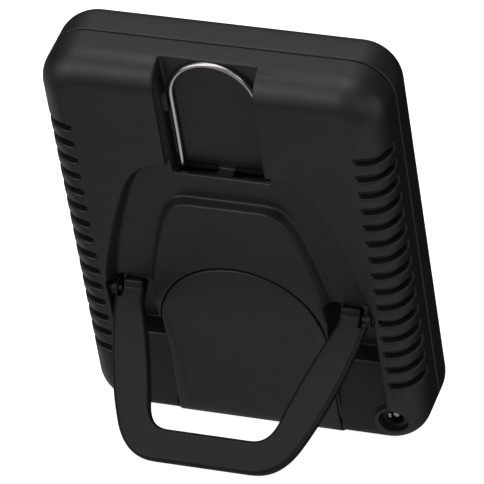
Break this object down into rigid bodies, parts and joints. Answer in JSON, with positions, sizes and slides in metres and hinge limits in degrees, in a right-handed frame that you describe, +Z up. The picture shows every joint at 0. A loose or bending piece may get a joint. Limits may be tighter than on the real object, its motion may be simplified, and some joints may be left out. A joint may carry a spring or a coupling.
{
  "type": "digital photo frame",
  "caption": "Desktop digital photo frame with a thick rounded case, fold-out stand, slide-up hanging wire, arched battery door, side grip grooves, side keys, card slot and power jack.",
  "frame": {"origin": "middle of the footprint, at ground level, with the frame leaning back on its stand", "axes": "-Y is the screen side, +X is to the right seen from the screen side, +Z is up; the case leans back by 27.3 degrees about X"},
  "size_m": [0.1208, 0.0966, 0.1495],
  "materials": {
    "case_plastic": "fine-textured black ABS",
    "stand_plastic": "satin black ABS",
    "inner_plastic": "plain moulded",
    "bright_steel": "nickel-plated steel wire",
    "plate_steel": "stamped sheet",
    "circuit_board": "green solder mask",
    "chip_package": "black moulding",
    "screen_glass": "clear polished",
    "foam_seal": "black foam",
    "cell_wrap": "printed sleeve, plain blue",
    "ribbon_film": "amber polyimide",
    "panel_body": "matt metal frame"
  },
  "bodies": {
    "case": {"rear_shell": "case_plastic", "front_bezel": "case_plastic", "battery_tray": "inner_plastic", "screen_window": "screen_glass", "lcd_gasket": "foam_seal", "lcd_panel": "panel_body", "lcd_bracket": "plate_steel", "lcd_ribbon": "ribbon_film", "main_board": "circuit_board", "processor_chip": "chip_package", "memory_chip": "chip_package", "card_socket": "plate_steel", "usb_socket": "plate_steel", "dc_jack": "chip_package", "dc_jack_pin": "bright_steel", "dc_jack_contact": "bright_steel", "hook_retainer": "inner_plastic", "aa_cell_1": "cell_wrap", "cell_spring_1": "bright_steel", "cell_contact_1": "plate_steel", "aa_cell_2": "cell_wrap", "cell_spring_2": "bright_steel", "cell_contact_2": "plate_steel", "aa_cell_3": "cell_wrap", "cell_spring_3": "bright_steel", "cell_contact_3": "plate_steel", "bracket_screw_1": "bright_steel", "board_screw_1": "bright_steel", "key_switch_1": "chip_package", "bracket_screw_2": "bright_steel", "board_screw_2": "bright_steel", "key_switch_2": "chip_package", "bracket_screw_3": "bright_steel", "board_screw_3": "bright_steel", "key_switch_3": "chip_package", "bracket_screw_4": "bright_steel", "board_screw_4": "bright_steel", "key_switch_4": "chip_package", "retainer_screw_1": "bright_steel", "retainer_screw_2": "bright_steel"},
    "stand": {"stand": "stand_plastic", "stand_pin_left": "stand_plastic", "stand_pin_right": "stand_plastic"},
    "hanging_wire": {"hanging_wire": "bright_steel"},
    "battery_door": {"battery_door": "case_plastic"},
    "power_key": {"power_key": "stand_plastic"},
    "up_key": {"up_key": "stand_plastic"},
    "down_key": {"down_key": "stand_plastic"},
    "menu_key": {"menu_key": "stand_plastic"}
  },
  "joints": [
    {"name": "stand_hinge", "type": "hinge", "parent": "case", "child": "stand", "pos_m": [-0.00035, 0.00334, 0.04868], "axis": [1, 0, 0], "range_deg": [0, 116]},
    {"name": "wire_slide", "type": "slide", "parent": "case", "child": "hanging_wire", "axis": [0, 0.4588, 0.8885], "range_m": [0, 0.03]},
    {"name": "door_slide", "type": "slide", "parent": "case", "child": "battery_door", "axis": [0, -0.4588, -0.8885], "range_m": [0, 0.01]},
    {"name": "power_key_press", "type": "slide", "parent": "case", "child": "power_key", "axis": [-1, 0, 0], "range_m": [0, 0.0005], "stiffness_N_per_m": 800},
    {"name": "up_key_press", "type": "slide", "parent": "case", "child": "up_key", "axis": [-1, 0, 0], "range_m": [0, 0.0005], "stiffness_N_per_m": 800},
    {"name": "down_key_press", "type": "slide", "parent": "case", "child": "down_key", "axis": [-1, 0, 0], "range_m": [0, 0.0005], "stiffness_N_per_m": 800},
    {"name": "menu_key_press", "type": "slide", "parent": "case", "child": "menu_key", "axis": [-1, 0, 0], "range_m": [0, 0.0005], "stiffness_N_per_m": 800}
  ]
}
